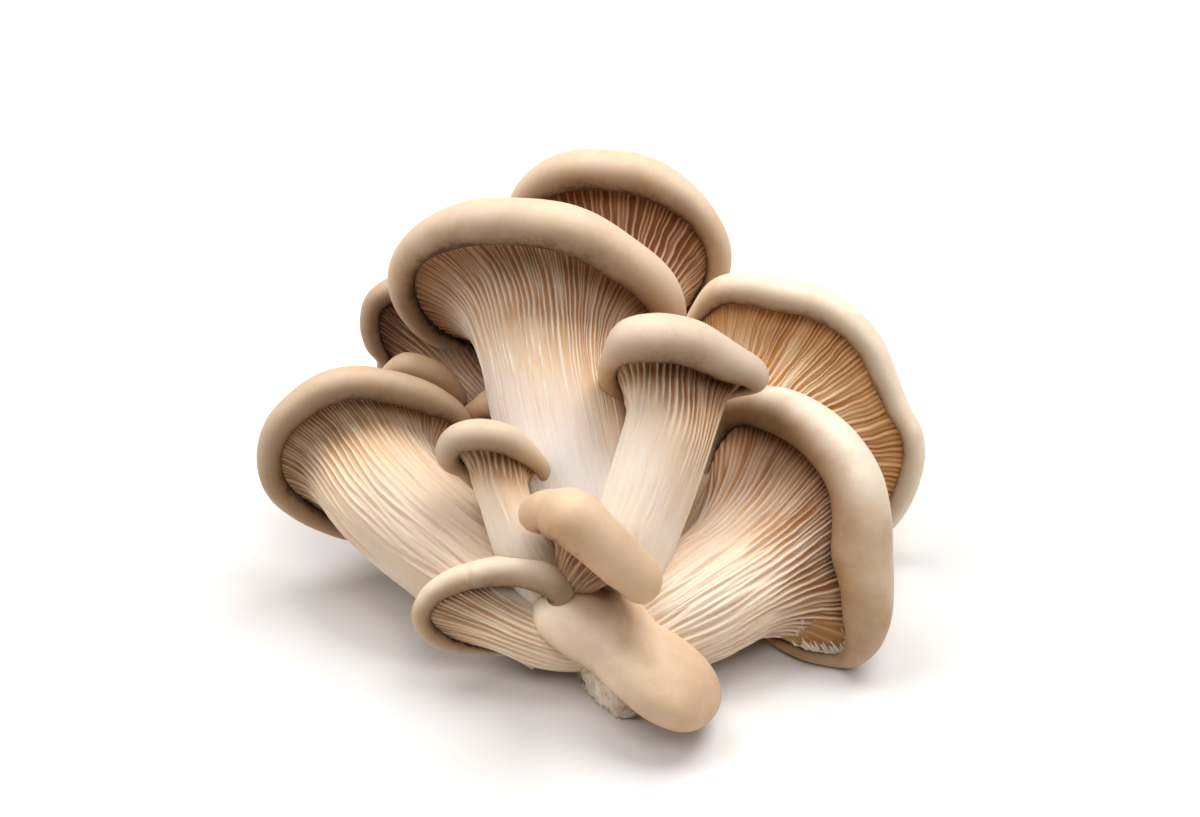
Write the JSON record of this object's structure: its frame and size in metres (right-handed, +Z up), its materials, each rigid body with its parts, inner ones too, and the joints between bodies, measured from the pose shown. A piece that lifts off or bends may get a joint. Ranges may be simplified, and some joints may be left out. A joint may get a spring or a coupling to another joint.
{
  "type": "oyster mushroom cluster",
  "caption": "Cluster of fresh oyster mushrooms lying on its side, with tan rolled caps, pale gills that run down white stems, and one torn base.",
  "frame": {"origin": "centre of the cluster's box seen from above, on the surface that it lies on", "axes": "+Z up from that surface, -Y towards the side that the gills and stems face, +X to the right seen from there"},
  "size_m": [0.1414, 0.1218, 0.0836],
  "materials": {
    "tan_cap_skin": "smooth satin skin",
    "grey_tan_cap_skin": "smooth satin skin",
    "cream_gills_and_stem": "matte moist flesh",
    "torn_base_flesh": "matte torn fibres"
  },
  "bodies": {
    "root": {"front_cap": "tan_cap_skin", "front_gills_and_stem": "cream_gills_and_stem", "base": "torn_base_flesh", "hood_cap": "tan_cap_skin", "hood_gills_and_stem": "cream_gills_and_stem", "low_cap": "grey_tan_cap_skin", "low_gills_and_stem": "cream_gills_and_stem", "bud_cap": "tan_cap_skin", "bud_gills_and_stem": "cream_gills_and_stem", "right_cap": "grey_tan_cap_skin", "right_gills_and_stem": "cream_gills_and_stem", "middle_cap": "grey_tan_cap_skin", "middle_gills_and_stem": "cream_gills_and_stem", "left_cap": "tan_cap_skin", "left_gills_and_stem": "cream_gills_and_stem", "main_cap": "tan_cap_skin", "main_gills_and_stem": "cream_gills_and_stem", "tucked_cap": "tan_cap_skin", "tucked_gills_and_stem": "cream_gills_and_stem", "button_cap": "tan_cap_skin", "button_gills_and_stem": "cream_gills_and_stem", "fan_cap": "grey_tan_cap_skin", "fan_gills_and_stem": "cream_gills_and_stem", "crown_cap": "tan_cap_skin", "crown_gills_and_stem": "cream_gills_and_stem", "back_cap": "tan_cap_skin", "back_gills_and_stem": "cream_gills_and_stem"}
  },
  "joints": []
}
